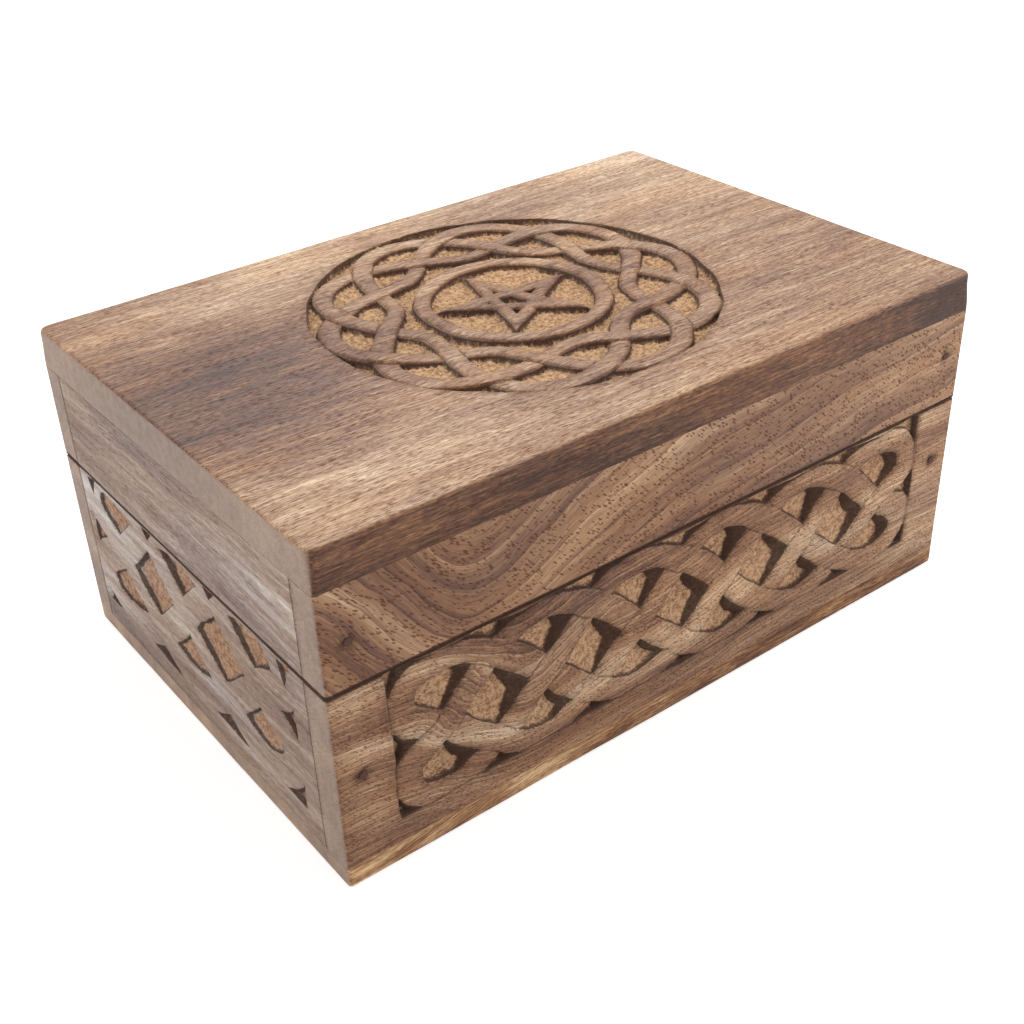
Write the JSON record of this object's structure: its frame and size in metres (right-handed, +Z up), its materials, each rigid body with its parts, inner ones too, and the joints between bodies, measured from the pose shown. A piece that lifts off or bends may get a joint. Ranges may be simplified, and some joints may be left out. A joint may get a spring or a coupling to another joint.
{
  "type": "carved wooden dice box with hinged lid",
  "caption": "Rectangular hardwood box for dice with a lid on brass butt hinges, woven strapwork carved on its sides and round knotwork with a star on the lid.",
  "frame": {"origin": "middle of the underside, taken over the whole box with its hinge barrels", "axes": "+X along the box to its right end, +Z up, -Y out of the front, hinges at +Y"},
  "size_m": [0.152, 0.1018, 0.069],
  "materials": {
    "base_wood": "waxed hardwood, mid brown with dark streaks and open pores",
    "lid_wood": "waxed hardwood, tan brown with fine long grain and dark streaks",
    "hinge_brass": "satin, slightly dulled",
    "screw_brass": "satin",
    "nail_steel": "dark, filled and waxed over"
  },
  "bodies": {
    "base": {"base_back_nails": "nail_steel", "base_back_panel": "base_wood", "base_bottom_board": "base_wood", "base_bottom_nails": "nail_steel", "base_front_nails": "nail_steel", "base_front_panel": "base_wood", "base_left_panel": "base_wood", "base_right_panel": "base_wood", "hinge_left_base_leaf": "hinge_brass", "hinge_left_base_screws": "screw_brass", "hinge_left_pin": "hinge_brass", "hinge_right_base_leaf": "hinge_brass", "hinge_right_base_screws": "screw_brass", "hinge_right_pin": "hinge_brass"},
    "lid": {"hinge_left_lid_leaf": "hinge_brass", "hinge_left_lid_screws": "screw_brass", "hinge_right_lid_leaf": "hinge_brass", "hinge_right_lid_screws": "screw_brass", "lid_back_nails": "nail_steel", "lid_back_rail": "lid_wood", "lid_front_nails": "nail_steel", "lid_front_rail": "lid_wood", "lid_left_rail": "lid_wood", "lid_right_rail": "lid_wood", "lid_top_board": "lid_wood"}
  },
  "joints": [
    {"name": "lid_hinge", "type": "hinge", "parent": "base", "child": "lid", "pos_m": [0, 0.04935, 0.04135], "axis": [-1, 0, 0], "range_deg": [0, 105]}
  ]
}
